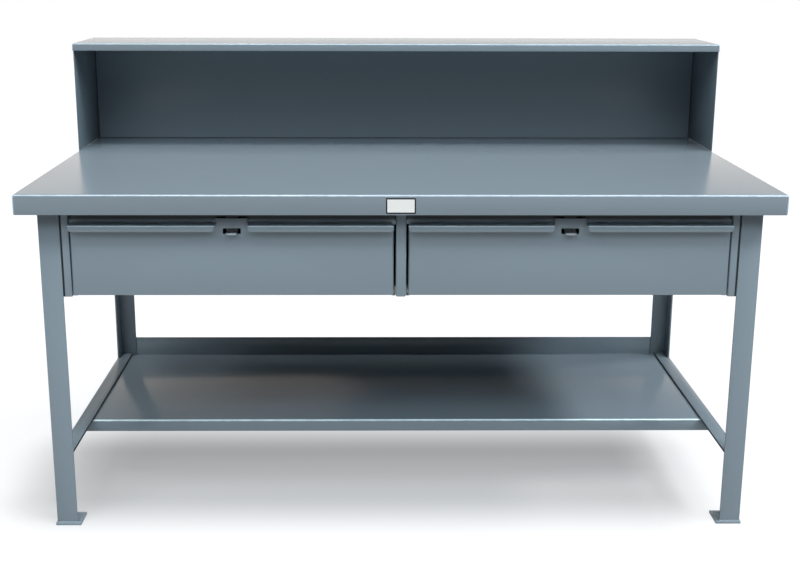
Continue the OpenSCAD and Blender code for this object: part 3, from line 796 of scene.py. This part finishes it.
# %% [markdown]
# The beads lie where a welder can reach: round the outside of each leg on its foot pad, across the
# ends of the stretchers, and behind the foot of the riser's back. A bead's middle runs along the corner
# where the two steels meet, or a hair off it, so that it sinks into both and no drop hangs in the air.

# %% Where the welds run
OFF_CORNER = 0.0005
UNDER_TOP = 0.0006
ANGLE_THICK = 0.0048
INSET = 0.003
LEDGE_INSET = 0.008
END_INSET = 0.001


def pad_runs():
    """Round the outside of each leg where it stands on its foot pad."""
    runs = []
    for corner in ("front_left", "front_right", "rear_left", "rear_right"):
        low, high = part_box("leg_" + corner)
        z = low.z + OFF_CORNER
        x = low.x if "left" in corner else high.x
        y = low.y if "front" in corner else high.y
        runs.append(((low.x, y, z), (high.x, y, z)))
        runs.append(((x, low.y, z), (x, high.y, z)))
    return runs


def stretcher_runs():
    """Across the end of each stretcher, where it meets the legs' flanges."""
    runs = []
    for side in ("left", "right"):
        low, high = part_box("stretcher_" + side)
        front_leg, rear_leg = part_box("leg_front_" + side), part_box("leg_rear_" + side)
        for y in (front_leg[0].y + ANGLE_THICK, rear_leg[1].y - ANGLE_THICK):
            runs.append(((low.x + INSET, y, high.z), (high.x - LEDGE_INSET, y, high.z)))
        x = low.x if side == "left" else high.x
        for y in (front_leg[1].y, rear_leg[0].y):
            runs.append(((x, y, low.z + INSET), (x, y, high.z - INSET)))
    return runs


def riser_run():
    """Along the foot of the riser's back, behind it, where the worktop's rear fold rounds away."""
    low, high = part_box("riser_back")
    y, z = high.y - OFF_CORNER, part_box("worktop")[1].z - UNDER_TOP
    return [((low.x + END_INSET, y, z), (high.x - END_INSET, y, z))]


weld("welds_foot_pads", pad_runs(), "frame", width=0.006, height=0.005)
weld("weld_riser_back", riser_run(), "frame", width=0.003, height=0.0026)
weld("welds_stretchers", stretcher_runs(), "frame", width=0.006, height=0.004)

# %% [markdown]
# ## The floor
# The table stands on a plain floor of pale card. A product picture is cut out on white, with only a
# soft grey shadow left under the object. So the lens sees a card that glows by itself, dimly under the
# table and white round it, while the table's own shadows still darken it. The dim glow in a rectangle
# under the table is a painted shadow. The glow is for the lens alone: the card that lights the
# table's underside is plain grey.

# %% Floor
FLOOR_REACH = 14.0
CARD_TONE, CARD_SEEN = 0.4, 0.16
SHADOW_GLOW, FULL_GLOW = 0.36, 0.84
GLOW_COLOUR = (0.98, 0.985, 1.0, 1)
SHADOW_LOW, SHADOW_HIGH, SHADOW_FADE = (-0.84, -0.24), (0.62, 0.03), 0.3


def distance_from(tree, low, high):
    """How far a point of the floor is from a rectangle. It is nothing inside."""
    squares = []
    for axis, near, far in zip(axes_of(tree, place_on_piece(tree)), low, high):
        off = maths(tree, "ABSOLUTE", maths(tree, "SUBTRACT", axis, (near + far) / 2))
        past = maths(tree, "MAXIMUM", maths(tree, "SUBTRACT", off, (far - near) / 2), 0.0)
        squares.append(maths(tree, "MULTIPLY", past, past))
    return maths(tree, "SQRT", maths(tree, "ADD", *squares))


def pale_card():
    """Card that glows for the lens alone, with a painted shadow: dim glow in the heart of the shadow.
    """
    material, tree, shader = new_material("pale floor")
    away = distance_from(tree, SHADOW_LOW, SHADOW_HIGH)
    lens = tree.nodes.new("ShaderNodeLightPath").outputs["Is Camera Ray"]
    glow = maths(tree, "MULTIPLY", lens, soft_step(tree, away, 0.0, SHADOW_FADE, SHADOW_GLOW, FULL_GLOW))
    feed(tree, glow, shader.inputs["Emission Strength"])
    shader.inputs["Emission Color"].default_value = GLOW_COLOUR
    card = mix_colours(tree, lens, (CARD_TONE,) * 3 + (1,), (CARD_SEEN,) * 3 + (1,))
    feed(tree, card, shader.inputs["Base Color"])
    shader.inputs["Roughness"].default_value = 0.9
    shader.inputs["Specular IOR Level"].default_value = 0.0
    return material


def pale_floor(reach=FLOOR_REACH):
    """A flat square of card round the table's feet."""
    mesh = bpy.data.meshes.new("floor")
    corners = [(-reach, -reach, 0), (reach, -reach, 0), (reach, reach, 0), (-reach, reach, 0)]
    mesh.from_pydata(corners, [], [(0, 1, 2, 3)])
    mesh.materials.append(pale_card())
    floor = bpy.data.objects.new("floor", mesh)
    scene.collection.objects.link(floor)
    return floor


print("made:", pale_floor().name)

# %% [markdown]
# ## The light
# A big studio lights the table from panels that are far away, so the light is even from the top down
# to the feet. Panels in the surround do just that. Each is a stretch of the sky, given by how high it
# stands and how far round it is from straight ahead. A soft box high in front is the key light, dimmer
# cool panels below it fill the shadows, a lamp and a window on the right light the right end of the
# lower shelf, and a low warm backdrop behind gives the worktop its pale sheen. The lens sees plain
# white.

# %% Panels of light
PANELS = {
    # name: degrees up, degrees round from the front, brightness, colour
    "key box": ((59, 68), (-50, 50), 17.4, (0.96, 1.0, 0.97)),
    "cool fill": ((36, 48), (-50, 50), 5.1, (0.9, 1.0, 1.09)),
    "low fill": ((25, 36), (-50, 50), 1.4, (0.94, 1.0, 1.05)),
    "right lamp": ((47, 56), (70, 110), 24.5, (1.02, 1.0, 1.01)),
    "cool window": ((40, 56), (50, 70), 18.0, (0.86, 1.0, 1.1)),
    "left wall": ((40, 78), (-130, -50), 1.1, (1.06, 1.0, 0.93)),
    "backdrop": ((-5, 6), (130, 230), 1.45, (1.07, 1.0, 0.93)),
    "upper backdrop": ((6, 15), (130, 230), 0.72, (1.16, 1.0, 0.88)),
    "warm wall": ((12, 28), (184, 206), 0.2, (1.15, 1.0, 0.88)),
}


def sky_panel(tree, height, turn, heights, turns, soft=2.0):
    """1 inside a stretch of the sky, in degrees of height and of turn, and 0 outside."""
    mask = None
    for angle, (low, high) in ((height, heights), (turn, turns)):
        for edge, inside in ((low, 1.0), (high, 0.0)):
            start, end = math.radians(edge - soft / 2), math.radians(edge + soft / 2)
            step = soft_step(tree, angle, start, end, 1.0 - inside, inside)
            mask = step if mask is None else maths(tree, "MULTIPLY", mask, step)
    return mask


print(len(PANELS), "panels of light")

# %% [markdown]
# The surround's Generated coordinate is the direction that a ray looks in. Its height angle is the
# arc sine of z, and its turn comes from x and y. A turn jumps by a full circle somewhere, so panels
# behind the table are measured with the jump in front, and the others with the jump behind.


# %% Surround
def studio_world():
    """The panels for the table, and white for the lens."""
    world = bpy.data.worlds.new("studio")
    world.use_nodes = True
    tree = world.node_tree
    x, y, z = axes_of(tree, tree.nodes.new("ShaderNodeTexCoord").outputs["Generated"])
    height = maths(tree, "ARCSINE", z)
    front = maths(tree, "ARCTAN2", x, maths(tree, "MULTIPLY", y, -1.0))
    back = maths(tree, "ADD", maths(tree, "ARCTAN2", maths(tree, "MULTIPLY", x, -1.0), y), math.pi)
    total = None
    for name, (heights, turns, strength, colour) in PANELS.items():
        mask = sky_panel(tree, height, back if turns[1] > 180 else front, heights, turns)
        light = scaled(tree, tuple(strength * c for c in colour), mask, label=name)
        total = light if total is None else vectors(tree, "ADD", total, light).outputs[0]
    lens = tree.nodes.new("ShaderNodeLightPath").outputs["Is Camera Ray"]
    feed(tree, mix_colours(tree, lens, total, (1, 1, 1, 1)), tree.nodes["Background"].inputs["Color"])
    scene.world = world
    return world


print("surround:", studio_world().name)

# %% [markdown]
# ## Tone
# The Standard view shows colours as they are, so that white card is white.

# %% Tone
scene.view_settings.view_transform = "Standard"
scene.view_settings.look = "None"
